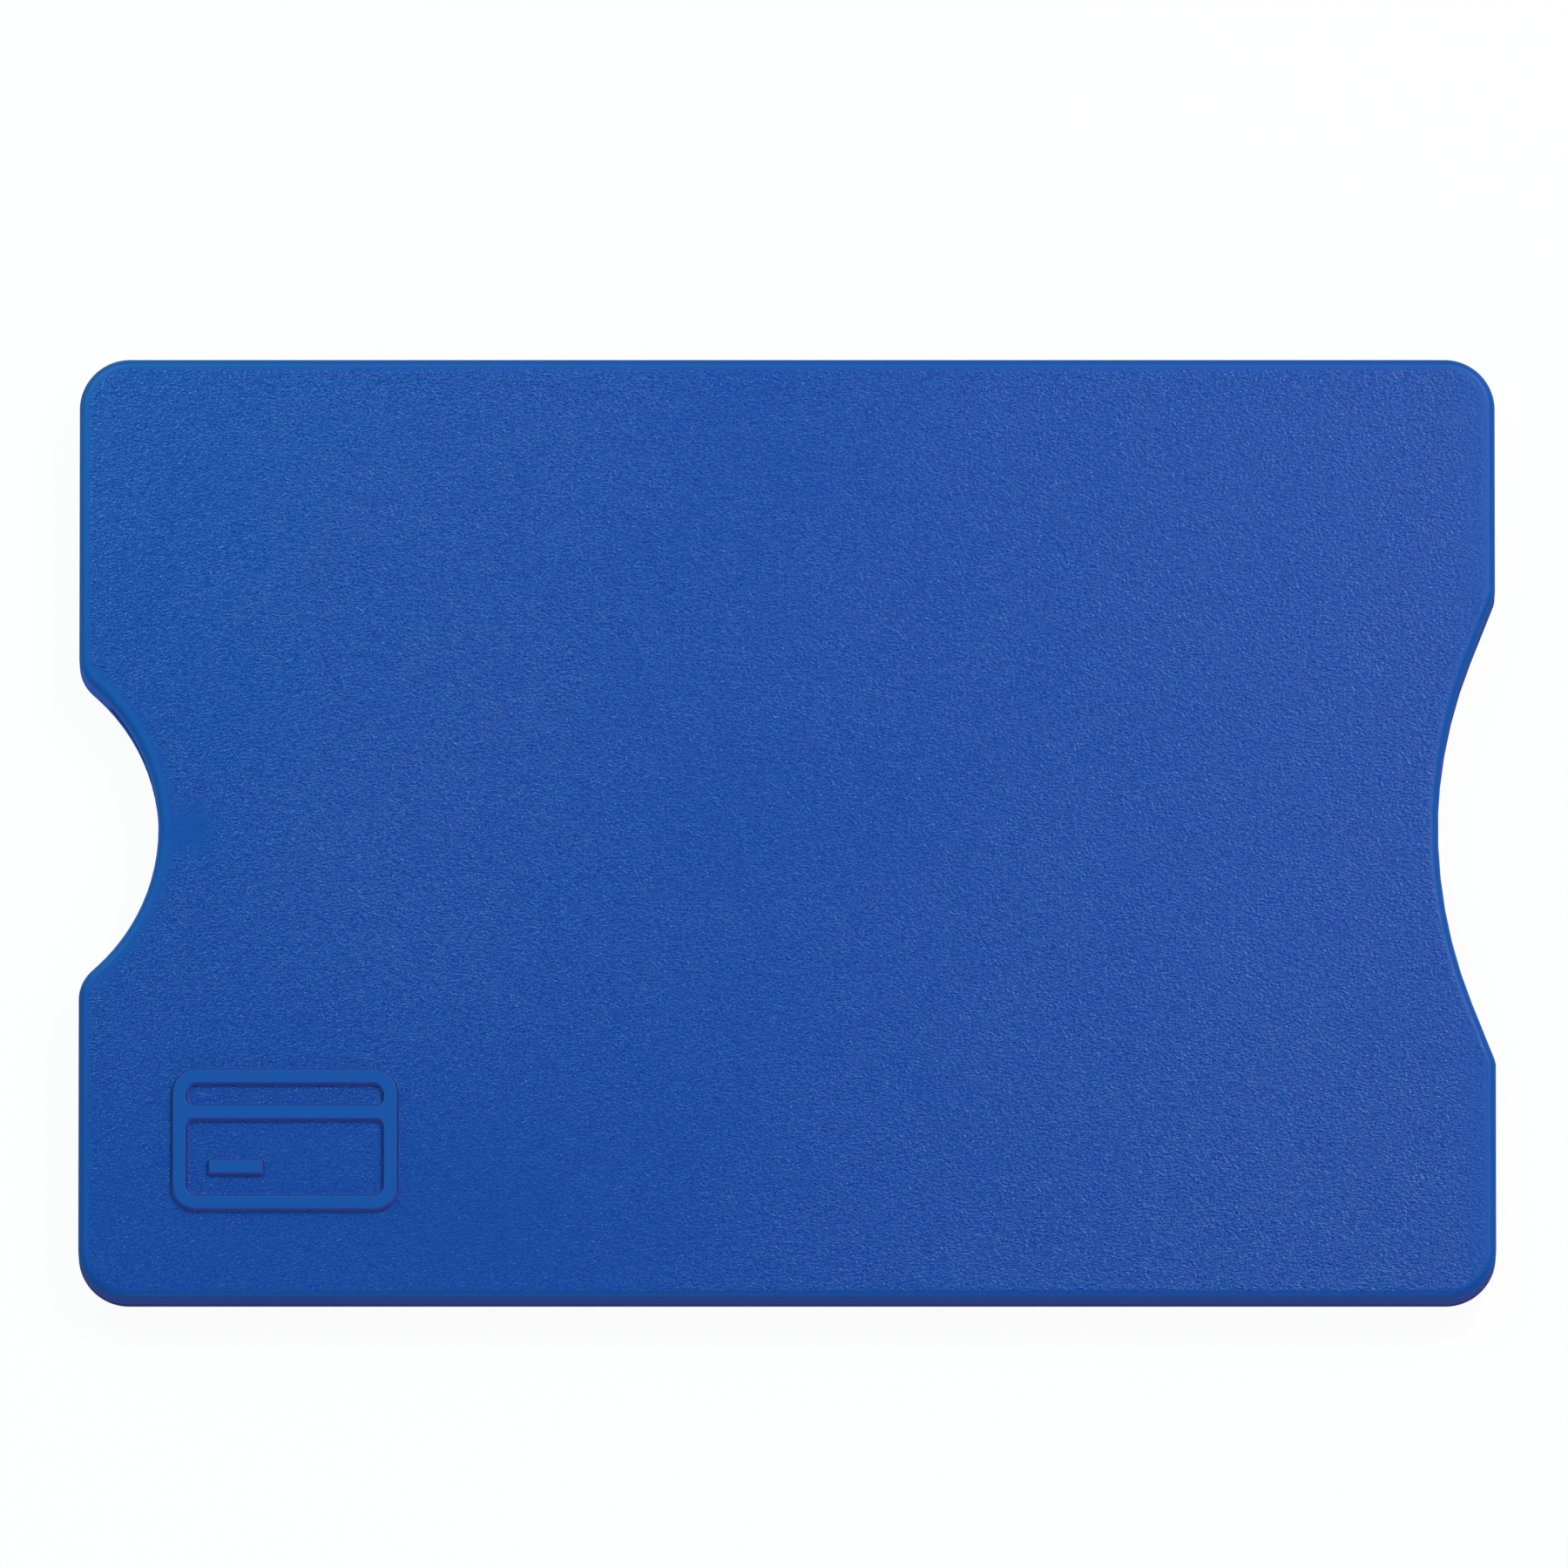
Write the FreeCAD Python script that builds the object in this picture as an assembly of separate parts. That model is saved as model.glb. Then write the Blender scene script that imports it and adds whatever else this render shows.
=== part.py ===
import FreeCAD, Part
import math
import os

# All sizes are in millimetres. The sleeve lies flat: X runs along it with the
# mouth at +X, Y runs across it, and Z rises from the rear face to the front.

# The card that the sleeve takes
card_length = 85.6
card_width = 53.98
card_thickness = 0.76
card_emboss_height = 0.48

# The slot that the rails leave between the panels
card_side_clearance = 0.51
card_face_clearance = 0.06
slot_corner_radius = 2.5
mouth_setback = 2.4

# The two moulded panels and the rails between them
panel_thickness = 1.35
rail_width = 2.75
end_wall = 2.0
corner_radius = 3.2
edge_round = 0.5
seam_chamfer = 0.15

# The round notch that a thumb pushes the card out through
push_depth = 5.04
push_radius = 12.0
push_flank = 0.4
push_lip_radius = 2.5

# The shallow notch in the mouth where the card is gripped
grip_depth = 3.65
grip_radius = 30.5
grip_flank = 3.8
grip_lip_radius = 1.5

# The weld tongues on the rails and the grooves for them in the panels
tongue_width = 0.8
tongue_height = 0.4
tongue_end_margin = 1.0
groove_clearance = 0.05

# The shielding foils, each glued into a recess in a panel's inner face
foil_thickness = 0.1
adhesive_thickness = 0.05
foil_corner_radius = 1.0
foil_edge_clearance = 0.15
recess_notch_margin = 1.2
recess_rail_margin = 1.0

# The raised card sign on the front face, placed from two outer edges
sign_width = 14.4
sign_height = 9.1
sign_stroke = 1.0
sign_corner_radius = 1.6
sign_stripe_drop = 2.3
sign_dash_length = 3.6
sign_dash_radius = 0.25
sign_dash_inset = 2.3
sign_relief = 0.4
sign_edge_round = 0.15
sign_from_end = 13.1
sign_from_side = 10.15

# How far apart two heights may be and still count as one plane
plane_tolerance = 0.001

# Worked out from the sizes above
slot_width = card_width + 2 * card_side_clearance
slot_height = card_thickness + card_emboss_height + card_face_clearance
length = end_wall + card_length + mouth_setback
width = slot_width + 2 * rail_width
thickness = 2 * panel_thickness + slot_height
half_length = length / 2
half_width = width / 2
half_slot = slot_width / 2
slot_end = end_wall - half_length
recess_depth = foil_thickness + adhesive_thickness
push_notch = (push_depth, push_radius, push_flank, push_lip_radius)
grip_notch = (grip_depth, grip_radius, grip_flank, grip_lip_radius)


def at(x, y, z=0.0):
    return FreeCAD.Vector(x, y, z)


def block(x_low, x_high, y_low, y_high, z_low, z_high):
    return Part.makeBox(x_high - x_low, y_high - y_low, z_high - z_low, at(x_low, y_low, z_low))


def rounded_block(x_low, x_high, y_low, y_high, z_low, z_high, radius):
    sharp = block(x_low, x_high, y_low, y_high, z_low, z_high)
    upright = [edge for edge in sharp.Edges if edge.BoundBox.ZLength > (z_high - z_low) / 2]
    return sharp.makeFillet(radius, upright)


# The edges of a solid that lie in the plane at height z
def edges_at(solid, z):
    def in_plane(box):
        return abs(box.ZMin - z) < plane_tolerance and box.ZLength < plane_tolerance

    return [edge for edge in solid.Edges if in_plane(edge.BoundBox)]


# The slope of a notch's straight flanks, which run tangent from the round
# bottom of the notch to the convex lips beside it
def flank_angle(depth, radius, flank, lip_radius):
    round_sum = radius + lip_radius
    reach = math.hypot(round_sum, flank)
    return math.acos((round_sum - depth) / reach) - math.atan2(flank, round_sum)


# Half the width of a notch where its lips meet the sleeve's end
def notch_half_width(depth, radius, flank, lip_radius):
    angle = flank_angle(depth, radius, flank, lip_radius)
    return (radius + lip_radius) * math.sin(angle) + flank * math.cos(angle)


# The edges of one end notch, in order, for the end at +X (side 1) or -X (side -1)
def notch_edges(side, depth, radius, flank, lip_radius):
    angle = flank_angle(depth, radius, flank, lip_radius)
    half = notch_half_width(depth, radius, flank, lip_radius)

    def on_lip(hand, turn):
        along = half - lip_radius * math.sin(turn)
        inward = lip_radius * (1 - math.cos(turn))
        return at(side * (half_length - inward), side * hand * along)

    def on_bottom(turn):
        inward = depth - radius * (1 - math.cos(turn))
        return at(side * (half_length - inward), side * radius * math.sin(turn))

    return [
        Part.Arc(on_lip(-1, 0), on_lip(-1, angle / 2), on_lip(-1, angle)).toShape(),
        Part.makeLine(on_lip(-1, angle), on_bottom(-angle)),
        Part.Arc(on_bottom(-angle), on_bottom(0), on_bottom(angle)).toShape(),
        Part.makeLine(on_bottom(angle), on_lip(1, angle)),
        Part.Arc(on_lip(1, angle), on_lip(1, angle / 2), on_lip(1, 0)).toShape(),
    ]


# One rounded corner of the outline, drawn counterclockwise
def corner_edge(x_side, y_side, start_angle):
    centre = at(x_side * (half_length - corner_radius), y_side * (half_width - corner_radius))
    points = []
    for step in (0, 45, 90):
        angle = math.radians(start_angle + step)
        points.append(centre + at(math.cos(angle), math.sin(angle)) * corner_radius)
    return Part.Arc(*points).toShape()


# The sleeve's outline seen from the front, as one closed face
def outline():
    edges = []
    for side, notch, start_angle in ((1, grip_notch, 270), (-1, push_notch, 90)):
        x_end = side * half_length
        x_corner = side * (half_length - corner_radius)
        y_corner = side * (half_width - corner_radius)
        y_lip = side * notch_half_width(*notch)
        edges.append(Part.makeLine(at(-x_corner, -side * half_width), at(x_corner, -side * half_width)))
        edges.append(corner_edge(side, -side, start_angle))
        edges.append(Part.makeLine(at(x_end, -y_corner), at(x_end, -y_lip)))
        edges.extend(notch_edges(side, *notch))
        edges.append(Part.makeLine(at(x_end, y_lip), at(x_end, y_corner)))
        edges.append(corner_edge(side, side, start_angle + 90))
    return Part.Face(Part.Wire(edges))


# A thin sheet of the foil's outline, drawn in from the recess by a clearance
def recess_sheet(z_low, z_high, clearance):
    x_low = push_depth + recess_notch_margin + clearance - half_length
    x_high = half_length - grip_depth - recess_notch_margin - clearance
    half = half_slot - recess_rail_margin - clearance
    return rounded_block(x_low, x_high, -half, half, z_low, z_high, foil_corner_radius)


# The weld tongues of one rail, along the rail and along its end wall, reaching
# the same distance into both panels
def tongues(side, clearance):
    half = tongue_width / 2 + clearance
    z_low = panel_thickness - tongue_height - clearance
    z_high = panel_thickness + slot_height + tongue_height + clearance
    y_rail = side * (half_slot + rail_width / 2)
    x_wall = slot_end - end_wall / 2
    x_rail_end = half_length - corner_radius - tongue_end_margin + clearance
    y_near = notch_half_width(*push_notch) + tongue_end_margin - clearance
    y_far = half_width - corner_radius - tongue_end_margin + clearance
    y_wall = sorted((side * y_near, side * y_far))
    return [
        block(-x_rail_end, x_rail_end, y_rail - half, y_rail + half, z_low, z_high),
        block(x_wall - half, x_wall + half, *y_wall, z_low, z_high),
    ]


# The panel at the rear, with a rounded outer rim, a chamfered inner rim that
# leads the card in at the mouth, a recess for its foil and the weld grooves
def rear_panel():
    panel = outline().extrude(at(0, 0, panel_thickness))
    panel = panel.makeFillet(edge_round, edges_at(panel, 0))
    panel = panel.makeChamfer(seam_chamfer, edges_at(panel, panel_thickness))
    panel = panel.cut(recess_sheet(panel_thickness - recess_depth, panel_thickness, 0))
    return panel.cut(tongues(1, groove_clearance) + tongues(-1, groove_clearance))


# One rail: the strip along a long side with its half of the closed end's wall
def rail(side):
    layer = outline().extrude(at(0, 0, slot_height))
    layer.translate(at(0, 0, panel_thickness))
    mouth = half_length + slot_corner_radius
    z_range = (panel_thickness, panel_thickness + slot_height)
    layer = layer.cut(rounded_block(slot_end, mouth, -half_slot, half_slot, *z_range, slot_corner_radius))
    strip = [solid for solid in layer.Solids if solid.CenterOfMass.y * side > 0][0]
    return strip.fuse(tongues(side, 0)).removeSplitter()


def turned_to_front(shape):
    return shape.mirror(at(0, 0, thickness / 2), at(0, 0, 1))


# One raised shape of the sign, with a rounded upper edge
def raised(x_low, x_high, y_low, y_high, radius, window=None):
    shape = rounded_block(x_low, x_high, y_low, y_high, thickness, thickness + sign_relief, radius)
    if window:
        shape = shape.cut(window)
    return shape.makeFillet(sign_edge_round, edges_at(shape, thickness + sign_relief))


# The card sign: a card's outline with a stripe across it and a dash below
def card_sign():
    x_low = sign_from_end - sign_width / 2 - half_length
    x_high = x_low + sign_width
    y_low = sign_from_side - sign_height / 2 - half_width
    y_high = y_low + sign_height
    stroke = sign_stroke
    window_radius = sign_corner_radius - stroke
    z_range = (thickness, thickness + sign_relief)
    stripe_top = y_high - sign_stripe_drop
    windows = rounded_block(
        x_low + stroke, x_high - stroke, y_low + stroke, y_high - stroke, *z_range, window_radius
    ).cut(block(x_low, x_high, stripe_top - stroke, stripe_top, *z_range))
    dash_x = x_low + sign_dash_inset
    dash_y = y_low + sign_dash_inset
    return [
        raised(x_low, x_high, y_low, y_high, sign_corner_radius, windows),
        raised(dash_x, dash_x + sign_dash_length, dash_y, dash_y + stroke, sign_dash_radius),
    ]


os.makedirs("parts", exist_ok=True)

panel = rear_panel()
foil_low = panel_thickness - foil_thickness
foil = recess_sheet(foil_low, panel_thickness, foil_edge_clearance)
adhesive = recess_sheet(panel_thickness - recess_depth, foil_low, foil_edge_clearance)

nodes = {
    "front_panel": turned_to_front(panel).fuse(card_sign()),
    "rear_panel": panel,
    "upper_rail": rail(1),
    "lower_rail": rail(-1),
    "front_shield_foil": turned_to_front(foil),
    "rear_shield_foil": foil,
    "front_foil_adhesive": turned_to_front(adhesive),
    "rear_foil_adhesive": adhesive,
}
for name, shape in nodes.items():
    shape.exportStep("parts/" + name + ".step")
    print(name, len(shape.Solids), "solid of", round(shape.Volume, 2), "mm3, valid:", shape.isValid())
print("length", length, "width", width, "thickness", thickness)
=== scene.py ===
from math import acos, atan2, ceil, cos, degrees, hypot, radians, sin

import bmesh
import bpy
from mathutils import Matrix, Vector


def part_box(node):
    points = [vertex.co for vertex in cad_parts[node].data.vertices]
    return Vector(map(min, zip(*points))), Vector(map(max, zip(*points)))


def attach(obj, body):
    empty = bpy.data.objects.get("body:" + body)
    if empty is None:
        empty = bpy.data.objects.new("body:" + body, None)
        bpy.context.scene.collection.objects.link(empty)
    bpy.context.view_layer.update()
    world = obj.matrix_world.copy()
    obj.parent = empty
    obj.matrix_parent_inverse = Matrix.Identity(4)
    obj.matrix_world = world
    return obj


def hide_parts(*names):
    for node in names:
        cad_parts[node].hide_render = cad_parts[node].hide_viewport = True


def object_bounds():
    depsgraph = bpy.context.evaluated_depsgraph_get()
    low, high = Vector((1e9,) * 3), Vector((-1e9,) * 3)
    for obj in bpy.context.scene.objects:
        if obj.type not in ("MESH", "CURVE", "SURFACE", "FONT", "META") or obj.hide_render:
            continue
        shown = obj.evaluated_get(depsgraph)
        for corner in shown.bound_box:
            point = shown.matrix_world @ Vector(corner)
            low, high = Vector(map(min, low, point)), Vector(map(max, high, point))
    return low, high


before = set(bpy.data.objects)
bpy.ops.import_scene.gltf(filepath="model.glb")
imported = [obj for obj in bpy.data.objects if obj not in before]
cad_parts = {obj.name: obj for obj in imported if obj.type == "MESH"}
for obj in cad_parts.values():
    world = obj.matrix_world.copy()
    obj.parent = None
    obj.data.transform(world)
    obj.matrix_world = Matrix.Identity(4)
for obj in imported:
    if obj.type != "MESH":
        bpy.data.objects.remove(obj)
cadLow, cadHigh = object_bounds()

mm = 0.001  # meshes are drawn in millimetres and scaled once, at the end
sameHeight = 0.0005  # how far apart two heights may be and still count as one
levelNormal = 0.9999  # a face whose normal reaches this along Z is level
arcStep = 4.0  # degrees of arc to each edge of an outline
leastSteps = 3  # edges in the shortest arc
print("frame loaded, box in mm:", [round(v / mm, 2) for v in (*cadLow, *cadHigh)])


# shader helpers
class Wire:
    # one output socket, so that shader maths reads as an expression
    def __init__(self, finish, socket):
        self.finish = finish
        self.socket = socket

    def calc(self, operation, *terms):
        node = self.finish.add("ShaderNodeMath", {"operation": operation}, dict(enumerate(terms)))
        return Wire(self.finish, node.outputs[0])

    def __add__(self, other):
        return self.calc("ADD", self, other)

    def __radd__(self, other):
        return self.calc("ADD", other, self)

    def __sub__(self, other):
        return self.calc("SUBTRACT", self, other)

    def __rsub__(self, other):
        return self.calc("SUBTRACT", other, self)

    def __mul__(self, other):
        return self.calc("MULTIPLY", self, other)

    def __rmul__(self, other):
        return self.calc("MULTIPLY", other, self)

    def __pow__(self, other):
        return self.calc("POWER", self, other)

    def __abs__(self):
        return self.calc("ABSOLUTE", self)

    def least(self, other):
        return self.calc("MINIMUM", self, other)

    def most(self, other):
        return self.calc("MAXIMUM", self, other)


class Finish:
    # a node tree, and the one way in which nodes are put into it
    def __init__(self, owner):
        owner.use_nodes = True
        self.owner = owner
        self.tree = owner.node_tree
        self.tree.nodes.clear()

    def add(self, kind, settings=None, sockets=None):
        node = self.tree.nodes.new(kind)
        for name, value in (settings or {}).items():
            setattr(node, name, value)
        for name, value in (sockets or {}).items():
            if isinstance(value, Wire):
                self.tree.links.new(value.socket, node.inputs[name])
            else:
                node.inputs[name].default_value = value
        return node

    def wire(self, kind, settings=None, sockets=None, output=0):
        return Wire(self, self.add(kind, settings, sockets).outputs[output])

    def place(self):  # the point's own place on the object, in mm
        metres = self.wire("ShaderNodeTexCoord", output="Object")
        return self.wire("ShaderNodeVectorMath", {"operation": "SCALE"}, {0: metres, "Scale": 1 / mm})

    def split(self, vector):
        return [Wire(self, part) for part in self.add("ShaderNodeSeparateXYZ", {}, {0: vector}).outputs]

    def noise(self, vector, size, detail=2.0, roughness=0.5):
        sockets = {"Vector": vector, "Scale": 1 / size, "Detail": detail, "Roughness": roughness}
        return self.wire("ShaderNodeTexNoise", {}, sockets)

    def ramp(self, value, low, high):  # 0 below low, 1 above high, eased between
        settings = {"interpolation_type": "SMOOTHSTEP"}
        sockets = {"Value": value, "From Min": low, "From Max": high}
        return self.wire("ShaderNodeMapRange", settings, sockets)

    def mix(self, factor, first, second):  # of two colours
        return self.wire("ShaderNodeMix", {"data_type": "RGBA"}, {0: factor, 6: first, 7: second}, 2)

    def bump(self, height, depth):
        return self.wire("ShaderNodeBump", {}, {"Strength": 1.0, "Distance": depth * mm, "Height": height})

    def show(self, shader, output="ShaderNodeOutputMaterial"):
        self.add(output, {}, {0: shader})
        return self.owner


def newFinish(name):
    return Finish(bpy.data.materials.new(name))


# mesh helpers
def drawLoop(bm, start, moves):
    # a pen that starts towards +X: each move is a straight run, or a radius and a turn to the left
    first = pen = bm.verts.new(start)
    loop = {first}
    heading = 0.0
    for move in moves:
        if len(move) == 1:
            pen = bmesh.ops.extrude_vert_indiv(bm, verts=[pen])["verts"][0]
            pen.co += move[0] * Vector((cos(heading), sin(heading), 0))
            loop.add(pen)
            continue
        radius, turn = move
        if radius:
            side = radius if turn > 0 else -radius
            centre = pen.co + side * Vector((-sin(heading), cos(heading), 0))
            steps = max(leastSteps, ceil(abs(turn) / arcStep))
            known = set(bm.verts)
            spun = bmesh.ops.spin(
                bm, geom=[pen], cent=centre, axis=(0, 0, 1), angle=radians(turn), steps=steps
            )
            pen = next(item for item in spun["geom_last"] if isinstance(item, bmesh.types.BMVert))
            loop.update(vert for vert in bm.verts if vert not in known)
        heading += radians(turn)
    loop.discard(pen)
    bmesh.ops.weld_verts(bm, targetmap={pen: first})
    return [edge for edge in bm.edges if edge.verts[0] in loop and edge.verts[1] in loop]


def roundedLoop(bm, left, bottom, right, top, z, lowRadius, highRadius):
    width, height = right - left, top - bottom
    up = height - lowRadius - highRadius
    moves = [(width - 2 * lowRadius,), (lowRadius, 90), (up,), (highRadius, 90)]
    moves += [(width - 2 * highRadius,), (highRadius, 90), (up,), (lowRadius, 90)]
    return drawLoop(bm, (left + lowRadius, bottom, z), moves)


def edgesAt(bm, z):
    return [e for e in bm.edges if all(abs(v.co.z - z) < sameHeight for v in e.verts)]


def flatFaces(bm):
    # the level faces, the lowest first
    bm.normal_update()
    level = [f for f in bm.faces if abs(f.normal.z) > levelNormal]
    return sorted(level, key=lambda f: f.calc_center_median().z)


def pullUp(bm, face, rise):
    pulled = bmesh.ops.extrude_face_region(bm, geom=[face])["geom"]
    verts = [item for item in pulled if isinstance(item, bmesh.types.BMVert)]
    bmesh.ops.translate(bm, vec=(0, 0, rise), verts=verts)


def roundEdges(bm, edges, size, segments):
    bmesh.ops.bevel(
        bm, geom=edges, offset=size, offset_type="OFFSET", affect="EDGES",
        segments=segments, profile=0.5, material=-1,
    )


def insetFaces(bm, faces, width):
    bmesh.ops.inset_region(bm, faces=faces, thickness=width, use_boundary=True, use_even_offset=True)


def fillFlat(bm, edges):
    filled = bmesh.ops.triangle_fill(bm, edges=edges, use_beauty=True, normal=(0, 0, 1))["geom"]
    return [item for item in filled if isinstance(item, bmesh.types.BMFace)]


def stepFace(bm, face, steps):
    # cuts closed loops out of a level face, and moves what each of them holds up or down
    rim = list(face.edges)
    bmesh.ops.delete(bm, geom=[face], context="FACES_ONLY")
    fillFlat(bm, rim + [edge for loop, rise in steps for edge in loop])
    for loop, rise in steps:
        lid = bmesh.ops.contextual_create(bm, geom=loop)["faces"][0]
        pullUp(bm, lid, rise)
        bmesh.ops.delete(bm, geom=[lid], context="FACES_ONLY")  # the extrusion leaves it in place


def finishPiece(bm, name, material, node, sharpAngle=40):
    bmesh.ops.scale(bm, vec=(mm, mm, mm), verts=bm.verts)
    bmesh.ops.recalc_face_normals(bm, faces=bm.faces)
    for face in bm.faces:
        face.smooth = True
    for edge in bm.edges:
        edge.smooth = len(edge.link_faces) == 2 and edge.calc_face_angle() < radians(sharpAngle)
    mesh = bpy.data.meshes.new(name)
    bm.to_mesh(mesh)
    bm.free()
    piece = bpy.data.objects.new(name, mesh)
    bpy.context.scene.collection.objects.link(piece)
    mesh.materials.append(material)
    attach(piece, "root")
    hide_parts(node)
    print(name, "built with", len(mesh.polygons), "faces")


# sizes that the pieces share, in mm
sleeve = {
    "length": (cadHigh.x - cadLow.x) / mm,
    "width": (cadHigh.y - cadLow.y) / mm,
    "corner": 3.2,
    "railWidth": 2.75,
    "endWall": 2.0,
}
notches = {
    "grip": {"depth": 3.65, "radius": 30.5, "flank": 3.8, "lip": 1.5},
    "push": {"depth": 5.04, "radius": 12.0, "flank": 0.4, "lip": 2.5},
}
halfLength, halfWidth = sleeve["length"] / 2, sleeve["width"] / 2
frontTop = (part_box("upper_rail")[0].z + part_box("upper_rail")[1].z) / mm  # the rails lie at mid height


def flankTurn(notch):
    reach = notch["radius"] + notch["lip"]
    return acos((reach - notch["depth"]) / hypot(reach, notch["flank"])) - atan2(notch["flank"], reach)


def notchHalf(notch):  # half the notch's width at the sleeve's end
    turn = flankTurn(notch)
    return (notch["radius"] + notch["lip"]) * sin(turn) + notch["flank"] * cos(turn)


def outlineMoves():
    corner = sleeve["corner"]
    moves = []
    for notch in (notches["grip"], notches["push"]):
        turn = degrees(flankTurn(notch))
        endRun = halfWidth - corner - notchHalf(notch)
        moves += [(sleeve["length"] - 2 * corner,), (corner, 90), (endRun,), (notch["lip"], turn)]
        moves += [(notch["flank"],), (notch["radius"], -2 * turn), (notch["flank"],)]
        moves += [(notch["lip"], turn), (endRun,), (corner, 90)]
    return moves


# blue moulded plastic, grained on the outer faces and smooth on rims and raised strokes
# a span says where a change starts and where it is complete, in mm or in steepness from 0 to 1
plastic = {
    "pit": (0.000, 0.034, 0.303, 1),
    "crest": (0.012, 0.085, 0.334, 1),
    "smooth": (0.004, 0.076, 0.350, 1),
    "index": 1.45,
    "grainRoughness": 0.20,
    "grainSpecular": 0.235,
    "plainRoughness": 0.40,
    "plainSpecular": 0.16,
    "roughnessSpread": 0.06,
    # the grain and the mottled colour in it
    "grainSize": 0.15,
    "grainStretch": (0.80, 1.22, 1.0),
    "grainDepth": 0.050,
    "grainDetail": 1.0,
    "grainBlend": 0.4,
    "mottleSize": 0.092,
    "mottleShift": (3.7, 1.3, 2.1),  # so that the colour doesn't follow the bumps
    "mottleSpan": (0.3, 0.7),
    # where the faces are grained
    "rimSpan": (0.35, 0.95),  # in from the outline
    "lowRimSpan": (3.0, 1.0),  # from the edge at -Y, where the grain goes further out
    "lowRimReach": 0.3,
    "gripReach": 0.2,
    "pushSpan": (0.3, 1.45),  # from the thumb notch
    "mouthSpan": (3.5, 1.0),  # from the mouth
    "mouthLoss": 0.35,
    "outsideSpan": (0.5, 0.3),  # below the outer faces
    "raisedSpan": (0.02, 0.12),  # above the front face
    "raisedLoss": 0.9,
    "gate": (-38.0, -0.2),  # the smooth spot where the mould was filled
    "gateSpan": (0.3, 2.6),
    "gateLoss": 0.6,
    "gateTone": (0.002, 0.064, 0.325, 1),
    # how deep the grain is in different parts of a face
    "patchSize": 11.0,
    "patchBase": 0.75,
    "patchGain": 0.5,
    "lowSpan": (5, 25),  # towards -Y
    "rightSpan": (-10, 38),  # towards +X
    "leftSpan": (2, 20),  # towards -X
    "closedSpan": (28, 40),  # towards -X
    "rightGain": 0.15,
    "lowRightGain": 0.35,
    "leftGain": 0.3,
    "lowLeftLoss": 0.6,
    "closedLoss": 0.25,
    "lowClosedGain": 0.27,
    # tones of the smooth plastic, with painted shade and painted light among them, and where they lie
    "wall": (0.031, 0.063, 0.345, 1),
    "wallSpan": (0.5, 0.95),
    "wallRoughness": 1.0,
    "wallRoughSpan": (0.3, 0.9),
    "paintedShade": (0.003, 0.058, 0.265, 1),  # painted shade on rims that turn to +Y and -X
    "paintedShadeLean": 0.5,
    "paintedShadeSpan": (0.0, 0.8),
    "foot": (0.015, 0.034, 0.190, 1),  # painted shade on the wall, near the floor
    "footSpan": (0.3, 0.7),
    "footHeight": (1.2, 2.1),
    # painted light: walls in the thumb notch get a brighter colour than other walls
    "paintedNotchLight": (0.024, 0.110, 0.600, 1),
    "notchSpan": (0.3, 0.8),
    "notchReach": (0.3, 0.8),  # from the thumb notch
    # painted shade on the sides of the raised strokes
    "paintedStrokeShade": (0.028, 0.050, 0.235, 1),
    "paintedLeeLight": (0.066, 0.104, 0.480, 1),  # painted light on stroke sides that turn to -Y, which lie in shade
    "strokeSpan": (0.08, 0.45),
    "leeSpan": (0.0, 0.4),
}


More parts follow.
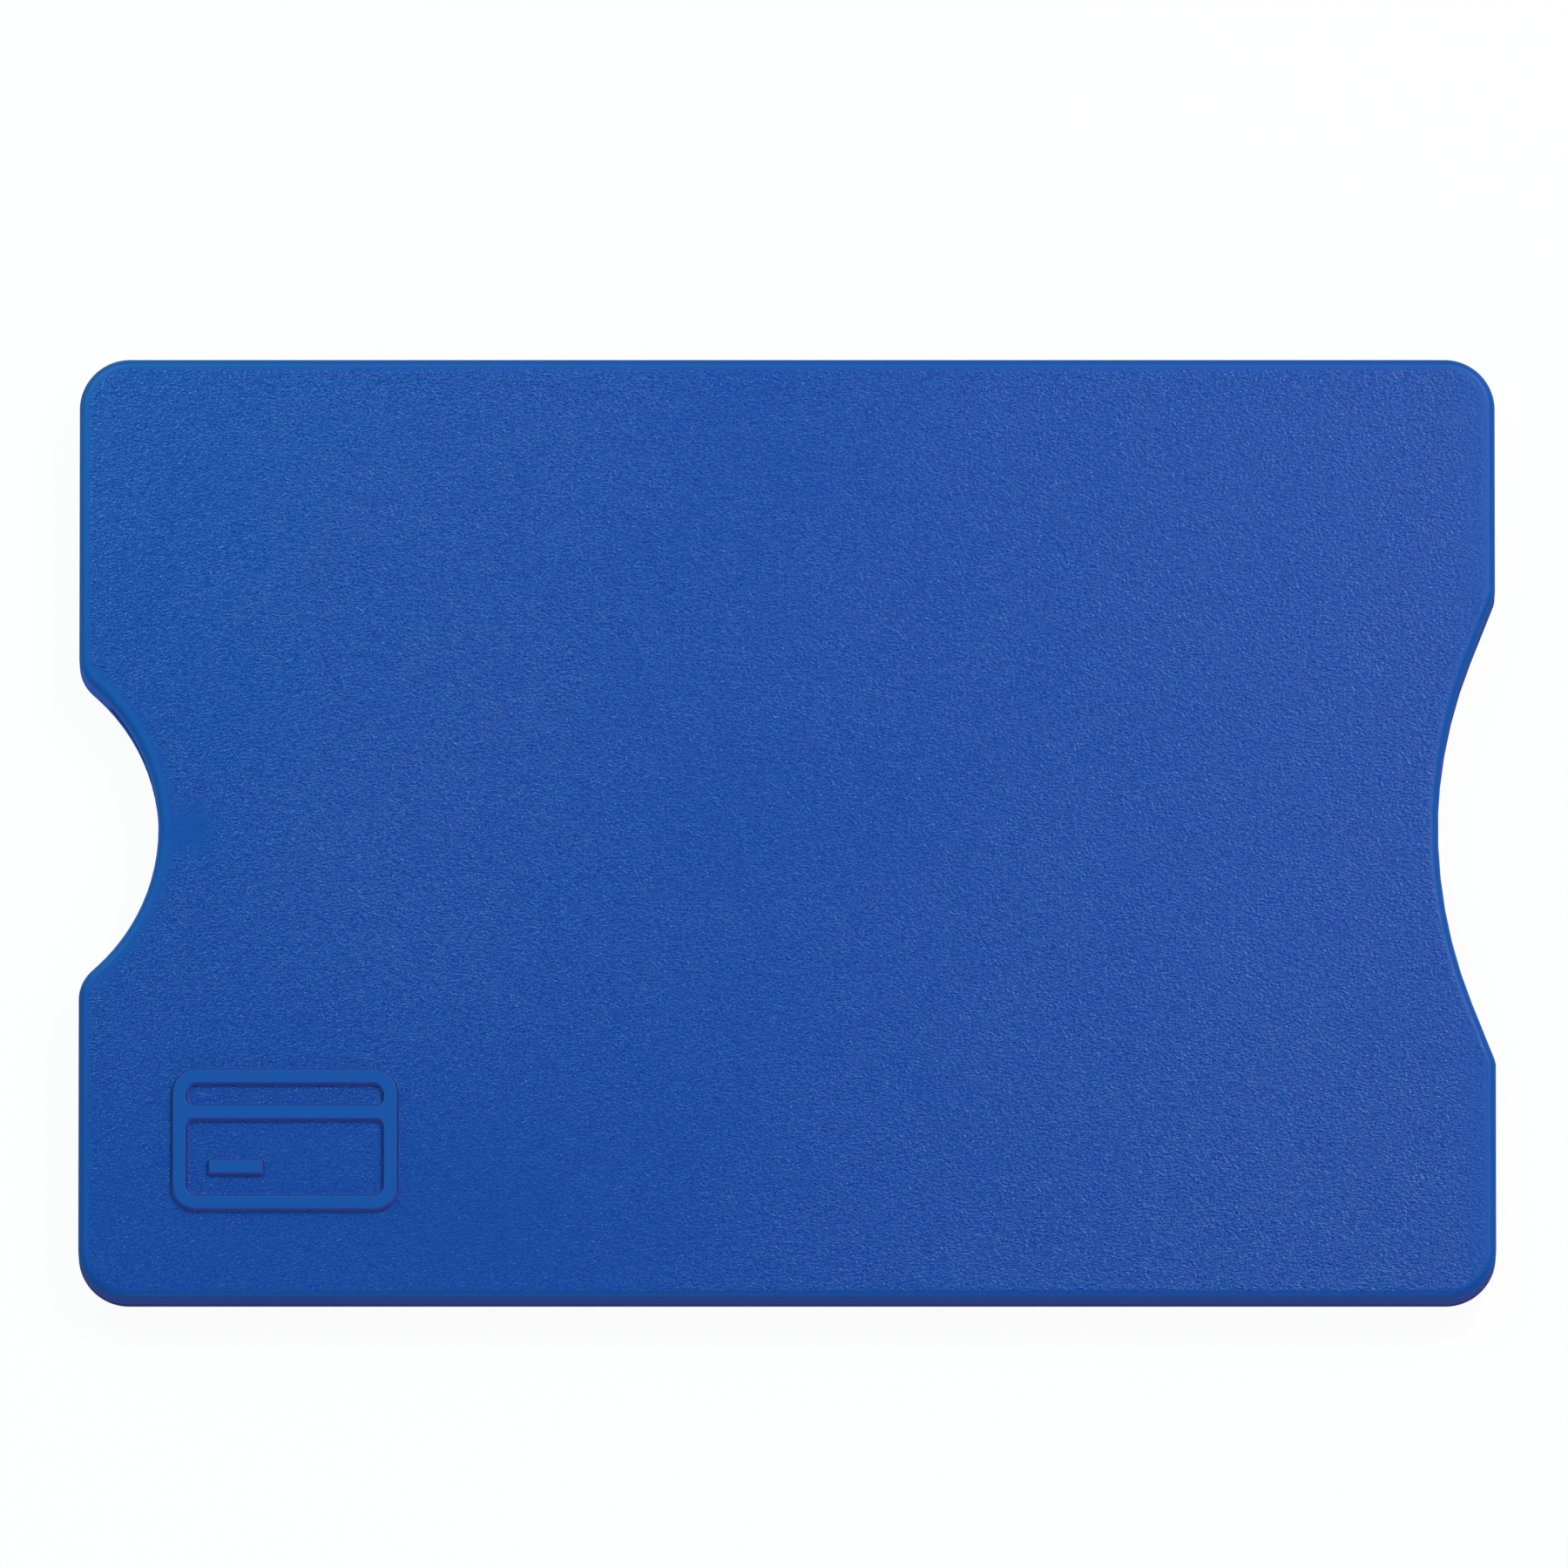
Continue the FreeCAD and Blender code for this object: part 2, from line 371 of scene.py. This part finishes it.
def shellPlastic():
    finish = newFinish("shellPlastic")
    where = finish.place()
    x, y, z = finish.split(where)

    def over(value, name):
        return finish.ramp(value, *plastic[name])

    # how far a point lies in from the sleeve's outline
    corner = sleeve["corner"]
    overX = abs(x) - (halfLength - corner)
    overY = abs(y) - (halfWidth - corner)
    inland = corner - (overX.most(0) ** 2 + overY.most(0) ** 2) ** 0.5 - overX.most(overY).least(0)
    fromNotch = []
    for side, notch in ((1, notches["grip"]), (-1, notches["push"])):
        centre = side * (halfLength - notch["depth"] + notch["radius"])
        fromNotch.append(((x - centre) ** 2 + y ** 2) ** 0.5 - notch["radius"])
    fromGrip, fromPush = fromNotch
    lowRim = finish.ramp(0 - y, *(halfWidth - edge for edge in plastic["lowRimSpan"]))
    inland = inland + plastic["lowRimReach"] * lowRim
    inland = inland.least(fromGrip + plastic["gripReach"]).least(fromPush)

    # where the faces are grained: not at the rim or on the inside, and less at the gate and on strokes
    gateX, gateY = plastic["gate"]
    gate = 1 - over(((x - gateX) ** 2 + (y - gateY) ** 2) ** 0.5, "gateSpan")
    outside = finish.ramp(abs(z - frontTop / 2), *(frontTop / 2 - edge for edge in plastic["outsideSpan"]))
    raised = finish.ramp(z, *(frontTop + edge for edge in plastic["raisedSpan"]))
    mouth = finish.ramp(x, *(halfLength - edge for edge in plastic["mouthSpan"]))
    grained = over(inland, "rimSpan") * outside * over(fromPush, "pushSpan")
    grained = grained * (1 - plastic["raisedLoss"] * raised)
    grained = grained * (1 - plastic["gateLoss"] * gate) * (1 - plastic["mouthLoss"] * mouth)

    # moulded grain, deeper in some places than in others
    stretched = finish.wire("ShaderNodeMapping", {}, {"Vector": where, "Scale": plastic["grainStretch"]})
    coarse = finish.noise(stretched, plastic["grainSize"], plastic["grainDetail"], plastic["grainBlend"])
    patches = finish.noise(where, plastic["patchSize"])
    low = over(0 - y, "lowSpan")
    right = over(x, "rightSpan")
    left = over(0 - x, "leftSpan")
    depth = 1 + plastic["rightGain"] * right + plastic["lowRightGain"] * right * low
    depth = depth + plastic["leftGain"] * left - plastic["lowLeftLoss"] * left * low
    depth = depth + over(0 - x, "closedSpan") * (plastic["lowClosedGain"] * low - plastic["closedLoss"])
    depth = depth * (plastic["patchBase"] + plastic["patchGain"] * patches)
    mottle = finish.wire("ShaderNodeMapping", {}, {"Vector": stretched, "Location": plastic["mottleShift"]})
    mottle = finish.noise(mottle, plastic["mottleSize"], plastic["grainDetail"], plastic["grainBlend"])
    contrast = 0.5 + (over(mottle, "mottleSpan") - 0.5) * depth
    unevenness = plastic["roughnessSpread"] * (patches - 0.5)
    sheen = finish.wire(
        "ShaderNodeBsdfPrincipled",
        {"distribution": "GGX"},
        {
            "Base Color": finish.mix(contrast, plastic["pit"], plastic["crest"]),
            "Roughness": plastic["grainRoughness"] + unevenness,
            "IOR": plastic["index"],
            "Specular IOR Level": plastic["grainSpecular"],
            "Normal": finish.bump(coarse * grained * depth, plastic["grainDepth"]),
        },
    )

    # smooth plastic, with other tones on steep walls, and painted shade and painted light by facing, height
    # and place
    facing = finish.wire("ShaderNodeNewGeometry", output="Normal")
    nx, ny, nz = finish.split(facing)
    steep = 1 - abs(nz)
    inPush = 1 - over(fromPush, "notchReach")
    paintedFootShadeMask = 1 - over(z, "footHeight")
    # painted shade: rims that turn to +Y and -X get a darker colour, except near the thumb notch
    paintedShadeMask = over(ny - plastic["paintedShadeLean"] * nx, "paintedShadeSpan")
    colour = finish.mix(over(steep, "wallSpan"), plastic["smooth"], plastic["wall"])
    colour = finish.mix(gate, colour, plastic["gateTone"])
    colour = finish.mix(paintedShadeMask * (1 - inPush), colour, plastic["paintedShade"])
    # painted shade: steep walls get a darker colour towards the floor
    colour = finish.mix(over(steep, "footSpan") * paintedFootShadeMask, colour, plastic["foot"])
    # painted light on the steep walls in the thumb notch
    colour = finish.mix(over(steep, "notchSpan") * inPush, colour, plastic["paintedNotchLight"])
    # painted shade on the sides of the raised strokes, with painted light on those that turn to -Y
    stroke = finish.mix(over(0 - ny, "leeSpan"), plastic["paintedStrokeShade"], plastic["paintedLeeLight"])
    colour = finish.mix(over(steep, "strokeSpan") * raised, colour, stroke)
    rougher = (plastic["wallRoughness"] - plastic["plainRoughness"]) * over(steep, "wallRoughSpan")
    plain = finish.wire(
        "ShaderNodeBsdfPrincipled",
        {"distribution": "GGX"},
        {
            "Base Color": colour,
            "Roughness": plastic["plainRoughness"] + rougher + unevenness,
            "IOR": plastic["index"],
            "Specular IOR Level": plastic["plainSpecular"],
        },
    )
    return finish.show(finish.wire("ShaderNodeMixShader", {}, {0: grained, 1: plain, 2: sheen}))


# rolled aluminium foil
foilLook = {
    "metal": (0.80, 0.80, 0.81, 1),
    "streak": (0.66, 0.66, 0.68, 1),
    "metallic": 1.0,
    "stretch": (0.04, 4.0, 0.04),  # rolling lines run along the sleeve
    "lineSize": 1.0,
    "lineDetail": 3.0,
    "lineDepth": 0.001,
    "roughness": 0.32,
    "roughnessSpread": 0.12,
}


def shieldFoil():
    finish = newFinish("shieldFoil")
    rolled = finish.wire("ShaderNodeMapping", {}, {"Vector": finish.place(), "Scale": foilLook["stretch"]})
    lines = finish.noise(rolled, foilLook["lineSize"], foilLook["lineDetail"])
    shader = finish.wire(
        "ShaderNodeBsdfPrincipled",
        {},
        {
            "Base Color": finish.mix(lines, foilLook["streak"], foilLook["metal"]),
            "Metallic": foilLook["metallic"],
            "Roughness": foilLook["roughness"] + foilLook["roughnessSpread"] * (lines - 0.5),
            "Normal": finish.bump(lines, foilLook["lineDepth"]),
        },
    )
    return finish.show(shader)


# clear transfer adhesive behind the foil
adhesiveLook = {
    "clear": (0.62, 0.55, 0.38, 1),
    "cloud": (0.50, 0.43, 0.28, 1),
    "cloudSize": 1.1,
    "cloudDetail": 3.0,
    "roughness": 0.5,
    "roughnessSpread": 0.2,
}


def foilAdhesive():
    finish = newFinish("foilAdhesive")
    spread = finish.noise(finish.place(), adhesiveLook["cloudSize"], adhesiveLook["cloudDetail"])
    shader = finish.wire(
        "ShaderNodeBsdfPrincipled",
        {},
        {
            "Base Color": finish.mix(spread, adhesiveLook["cloud"], adhesiveLook["clear"]),
            "Roughness": adhesiveLook["roughness"] + adhesiveLook["roughnessSpread"] * (spread - 0.5),
        },
    )
    return finish.show(shader)


shellMaterial = shellPlastic()
foilMaterial = shieldFoil()
adhesiveMaterial = foilAdhesive()
for nodeName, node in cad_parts.items():
    node.data.materials.clear()
    if nodeName.endswith("foil"):
        node.data.materials.append(foilMaterial)
    elif nodeName.endswith("adhesive"):
        node.data.materials.append(adhesiveMaterial)
    else:
        node.data.materials.append(shellMaterial)
print("finishes ready:", [m.name for m in (shellMaterial, foilMaterial, adhesiveMaterial)])


# weld tongues on the rails, and the grooves for them in the panels
tongue = {"width": 0.8, "height": 0.4, "endMargin": 1.0, "clearance": 0.05}


def tongueBoxes(clearance):
    # of the rail at -Y, along the rail and along its end wall: left, bottom, right, top
    half = tongue["width"] / 2 + clearance
    inset = sleeve["corner"] + tongue["endMargin"] - clearance
    railY = sleeve["railWidth"] / 2 - halfWidth
    wallX = sleeve["endWall"] / 2 - halfLength
    nearY = notchHalf(notches["push"]) + tongue["endMargin"] - clearance
    along = (inset - halfLength, railY - half, halfLength - inset, railY + half)
    return along, (wallX - half, inset - halfWidth, wallX + half, -nearY)


# the raised card sign on the front face
sign = {
    "fromEnd": 13.1,  # to its middle, from the closed end
    "fromSide": 10.15,
    "width": 14.4,
    "height": 9.1,
    "stroke": 1.0,
    "corner": 1.6,
    "innerCorner": 0.25,
    "stripeDrop": 2.3,
    "dashLength": 3.6,
    "dashInset": 2.3,
    "slope": 0.25,  # width of the rounded side of a stroke
    "relief": cadHigh.z / mm - frontTop,
    "steps": 8,
}


def signLoops(bm, z):
    # loops at the foot of the strokes, half a side outside their middle line
    grow = sign["slope"] / 2
    stroke = sign["stroke"]
    originX = sign["fromEnd"] - sign["width"] / 2 - halfLength
    originY = sign["fromSide"] - sign["height"] / 2 - halfWidth
    stripeTop = sign["height"] - sign["stripeDrop"]

    def rounded(left, bottom, right, top, lowRadius, highRadius):
        box = (originX + left, originY + bottom, originX + right, originY + top)
        return roundedLoop(bm, *box, z, lowRadius, highRadius)

    corner = sign["corner"] + grow
    inner = sign["corner"] - stroke - grow
    small = sign["innerCorner"]
    left, right = stroke + grow, sign["width"] - stroke - grow
    frameLoop = rounded(-grow, -grow, sign["width"] + grow, sign["height"] + grow, corner, corner)
    highWindow = rounded(left, stripeTop + grow, right, sign["height"] - stroke - grow, small, inner)
    lowWindow = rounded(left, stroke + grow, right, stripeTop - stroke - grow, inner, small)
    dashLow, dashRight = sign["dashInset"] - grow, sign["dashInset"] + sign["dashLength"] + grow
    dash = rounded(dashLow, dashLow, dashRight, dashLow + stroke + 2 * grow, small + grow, small + grow)
    return frameLoop, highWindow, lowWindow, dash


def raiseStrokes(bm, faces):
    # small insets along a slope that is eased at both ends, the first of them flat
    steps = sign["steps"]
    parts = [step / steps for step in range(steps + 1)]
    heights = [0.0] + [sign["relief"] * (3 * part ** 2 - 2 * part ** 3) for part in parts]
    for before, after in zip(heights, heights[1:]):
        insetFaces(bm, faces, sign["slope"] / (steps + 1))
        verts = list({vert for face in faces for vert in face.verts})
        bmesh.ops.translate(bm, vec=(0, 0, after - before), verts=verts)
    insetFaces(bm, faces, panel["flatRing"])


# the two panels, each drawn with its outer face up and its inner face at z 0
panel = {
    "thickness": (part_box("rear_panel")[1].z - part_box("rear_panel")[0].z) / mm,
    "edgeRound": 0.5,
    "roundSegments": 7,
    "seamChamfer": 0.15,
    "flatRing": 0.04,  # a narrow flat ring that keeps the face's shading flat
    "recessDepth": 0.15,
    "recessCorner": 1.0,
    "recessGap": 0.15,  # round the foil
}


def panelMesh(foilNode, withSign):
    bm = bmesh.new()
    thickness = panel["thickness"]
    rim = drawLoop(bm, (sleeve["corner"] - halfLength, -halfWidth, 0), outlineMoves())
    pullUp(bm, bmesh.ops.contextual_create(bm, geom=rim)["faces"][0], thickness)
    roundEdges(bm, edgesAt(bm, thickness), panel["edgeRound"], panel["roundSegments"])
    roundEdges(bm, edgesAt(bm, 0), panel["seamChamfer"], 1)
    inner, outer = flatFaces(bm)

    # the foil's recess and the weld grooves in the inner face
    low, high = (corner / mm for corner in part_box(foilNode))
    gap, bend = panel["recessGap"], panel["recessCorner"]
    recess = roundedLoop(bm, low.x - gap, low.y - gap, high.x + gap, high.y + gap, 0, bend, bend)
    steps = [(recess, panel["recessDepth"])]
    for left, bottom, right, top in tongueBoxes(tongue["clearance"]):
        for lowY, highY in ((bottom, top), (-top, -bottom)):
            groove = roundedLoop(bm, left, lowY, right, highY, 0, 0, 0)
            steps.append((groove, tongue["height"] + tongue["clearance"]))
    stepFace(bm, inner, steps)

    insetFaces(bm, [outer], panel["flatRing"])
    if withSign:
        rim = list(outer.edges)
        bmesh.ops.delete(bm, geom=[outer], context="FACES_ONLY")
        frameLoop, highWindow, lowWindow, dash = signLoops(bm, thickness)
        for edges in (rim + frameLoop, highWindow, lowWindow + dash):
            fillFlat(bm, edges)
        strokes = fillFlat(bm, frameLoop + highWindow + lowWindow) + fillFlat(bm, dash)
        bmesh.ops.recalc_face_normals(bm, faces=bm.faces)
        raiseStrokes(bm, strokes)
    return bm


bm = panelMesh("front_shield_foil", True)
bmesh.ops.translate(bm, vec=(0, 0, frontTop - panel["thickness"]), verts=bm.verts)
finishPiece(bm, "frontPanel", shellMaterial, "front_panel")

bm = panelMesh("rear_shield_foil", False)
bmesh.ops.rotate(bm, cent=(0, 0, 0), matrix=Matrix.Rotation(radians(180), 3, "X"), verts=bm.verts)
bmesh.ops.translate(bm, vec=(0, 0, panel["thickness"]), verts=bm.verts)
finishPiece(bm, "rearPanel", shellMaterial, "rear_panel")


# the rails, each a strip along a long side with its half of the closed end's wall
rail = {"slotCorner": 2.5, "edgeRound": 0.05, "roundSegments": 2}


def railMoves():
    push = notches["push"]
    corner, slotCorner = sleeve["corner"], rail["slotCorner"]
    halfSlot = halfWidth - sleeve["railWidth"]
    # the corner goes on until it meets the slot, and the notch ends the wall
    mouthTurn = acos((halfSlot - halfWidth + corner) / corner)
    wallTurn = acos(1 - (push["depth"] - sleeve["endWall"]) / push["radius"])
    slotRun = 2 * halfLength - corner + corner * sin(mouthTurn) - sleeve["endWall"] - slotCorner
    wallRun = halfSlot - slotCorner - push["radius"] * sin(wallTurn)
    lipTurn = degrees(flankTurn(push))
    mouthTurn, wallTurn = degrees(mouthTurn), degrees(wallTurn)
    return [
        (sleeve["length"] - 2 * corner,), (corner, mouthTurn), (0, 180 - mouthTurn),
        (slotRun,), (slotCorner, -90), (wallRun,), (0, 180 - wallTurn),
        (push["radius"], wallTurn - lipTurn), (push["flank"],), (push["lip"], lipTurn),
        (halfWidth - corner - notchHalf(push),), (corner, 90),
    ]


def railMesh():
    bm = bmesh.new()
    low, high = panel["thickness"], frontTop - panel["thickness"]
    rim = drawLoop(bm, (sleeve["corner"] - halfLength, -halfWidth, low), railMoves())
    pullUp(bm, bmesh.ops.contextual_create(bm, geom=rim)["faces"][0], high - low)
    roundEdges(bm, edgesAt(bm, low) + edgesAt(bm, high), rail["edgeRound"], rail["roundSegments"])
    for face, z, rise in zip(flatFaces(bm), (low, high), (-tongue["height"], tongue["height"])):
        stepFace(bm, face, [(roundedLoop(bm, *box, z, 0, 0), rise) for box in tongueBoxes(0)])
    return bm


finishPiece(railMesh(), "lowerRail", shellMaterial, "lower_rail")

bm = railMesh()
bmesh.ops.scale(bm, vec=(1, -1, 1), verts=bm.verts)
finishPiece(bm, "upperRail", shellMaterial, "upper_rail")


# floor, light and camera
studio = {
    "floor": (0.90, 0.90, 0.90, 1),
    "floorShade": (0.88, 0.88, 0.885, 1),
    "floorGlow": 0.95,  # how far the floor is seen as plain white
    "floorGap": 0.02 * mm,  # below the sleeve, so that the two faces don't share a plane
    "floorReach": 20.0,  # from its middle, in m
    "floorToneSize": 25.0,
    "white": (1, 1, 1, 1),
    "whiteLevel": 1.0,
    "world": (0.85, 0.9, 1.0, 1),
    "worldLevel": 0.315,
}
lamps = {  # compass bearing from +X, height above the floor in degrees, distance in m
    "mainLamp": {
        "bearing": 51, "rise": 50, "away": 0.70,
        "size": 0.22, "power": 1.95, "tint": (1.0, 0.98, 0.97),
    },
    "leftLamp": {
        "bearing": 120, "rise": 54, "away": 0.70,
        "size": 0.22, "power": 1.55, "tint": (0.58, 1.09, 1.02),
    },
    "hazeLamp": {
        "bearing": 35, "rise": 60, "away": 0.26,
        "size": 0.12, "power": 0.175, "tint": (1.0, 1.0, 1.0),
    },
    "cornerLamp": {
        "bearing": 146, "rise": 24, "away": 0.085,
        "size": 0.05, "power": 0.011, "tint": (0.2, 1.0, 0.4),
    },
    "frontLamp": {
        "bearing": 270, "rise": 25, "away": 0.80,
        "size": 0.35, "power": 0.7, "tint": (1.0, 1.0, 1.0),
    },
}
lens = {"focal": 1400, "sensor": 36, "tilt": 80.5, "frameWidth": 99.67, "right": -0.205, "up": 3.112}


def makeFloor():
    finish = newFinish("paleFloor")
    rays = finish.add("ShaderNodeLightPath").outputs
    seen = Wire(finish, rays["Is Camera Ray"]) + Wire(finish, rays["Is Glossy Ray"])
    seen = (seen + Wire(finish, rays["Is Transmission Ray"])).least(1) * studio["floorGlow"]
    clouds = finish.noise(finish.place(), studio["floorToneSize"])
    tone = finish.mix(clouds, studio["floor"], studio["floorShade"])
    paint = finish.wire("ShaderNodeBsdfDiffuse", {}, {"Color": tone})
    glow = finish.wire(
        "ShaderNodeEmission", {}, {"Color": studio["white"], "Strength": studio["whiteLevel"]}
    )
    finish.show(finish.wire("ShaderNodeMixShader", {}, {0: seen, 1: paint, 2: glow}))
    bm = bmesh.new()
    bmesh.ops.create_grid(bm, x_segments=1, y_segments=1, size=studio["floorReach"])
    bmesh.ops.translate(bm, vec=(0, 0, cadLow.z - studio["floorGap"]), verts=bm.verts)
    mesh = bpy.data.meshes.new("floor")
    bm.to_mesh(mesh)
    bm.free()
    mesh.materials.append(finish.owner)
    floor = bpy.data.objects.new("floor", mesh)
    bpy.context.scene.collection.objects.link(floor)


def makeWorld():
    world = bpy.data.worlds.new("studioWorld")
    bpy.context.scene.world = world
    finish = Finish(world)
    room = finish.wire(
        "ShaderNodeBackground", {}, {"Color": studio["world"], "Strength": studio["worldLevel"]}
    )
    finish.show(room, "ShaderNodeOutputWorld")


def makeLamp(name, spec):
    lamp = bpy.data.lights.new(name, "AREA")
    lamp.shape = "SQUARE"
    lamp.size = spec["size"]
    lamp.energy = spec["power"]
    lamp.color = spec["tint"]
    holder = bpy.data.objects.new(name, lamp)
    bearing, rise = radians(spec["bearing"]), radians(spec["rise"])
    towards = Vector((cos(bearing) * cos(rise), sin(bearing) * cos(rise), sin(rise)))
    holder.location = spec["away"] * towards
    holder.rotation_euler = (-towards).to_track_quat("-Z", "Y").to_euler()
    holder.visible_camera = False
    bpy.context.scene.collection.objects.link(holder)


def makeCamera():
    camera = bpy.data.cameras.new("photoCamera")
    camera.lens = lens["focal"]
    camera.sensor_width = lens["sensor"]
    tilt = radians(lens["tilt"])
    back = Vector((0, -cos(tilt), sin(tilt)))
    up = Vector((0, sin(tilt), cos(tilt)))
    centre = Vector((0, 0, frontTop / 2 * mm))
    aim = centre + mm * (lens["right"] * Vector((1, 0, 0)) + lens["up"] * up)
    holder = bpy.data.objects.new("photoCamera", camera)
    holder.location = aim + back * (lens["frameWidth"] * mm * lens["focal"] / lens["sensor"])
    holder.rotation_euler = (-back).to_track_quat("-Z", "Y").to_euler()
    bpy.context.scene.collection.objects.link(holder)
    bpy.context.scene.camera = holder


makeFloor()
makeWorld()
for lampName, spec in lamps.items():
    makeLamp(lampName, spec)
makeCamera()
bpy.context.scene.view_settings.view_transform = "Standard"
print("stage ready")
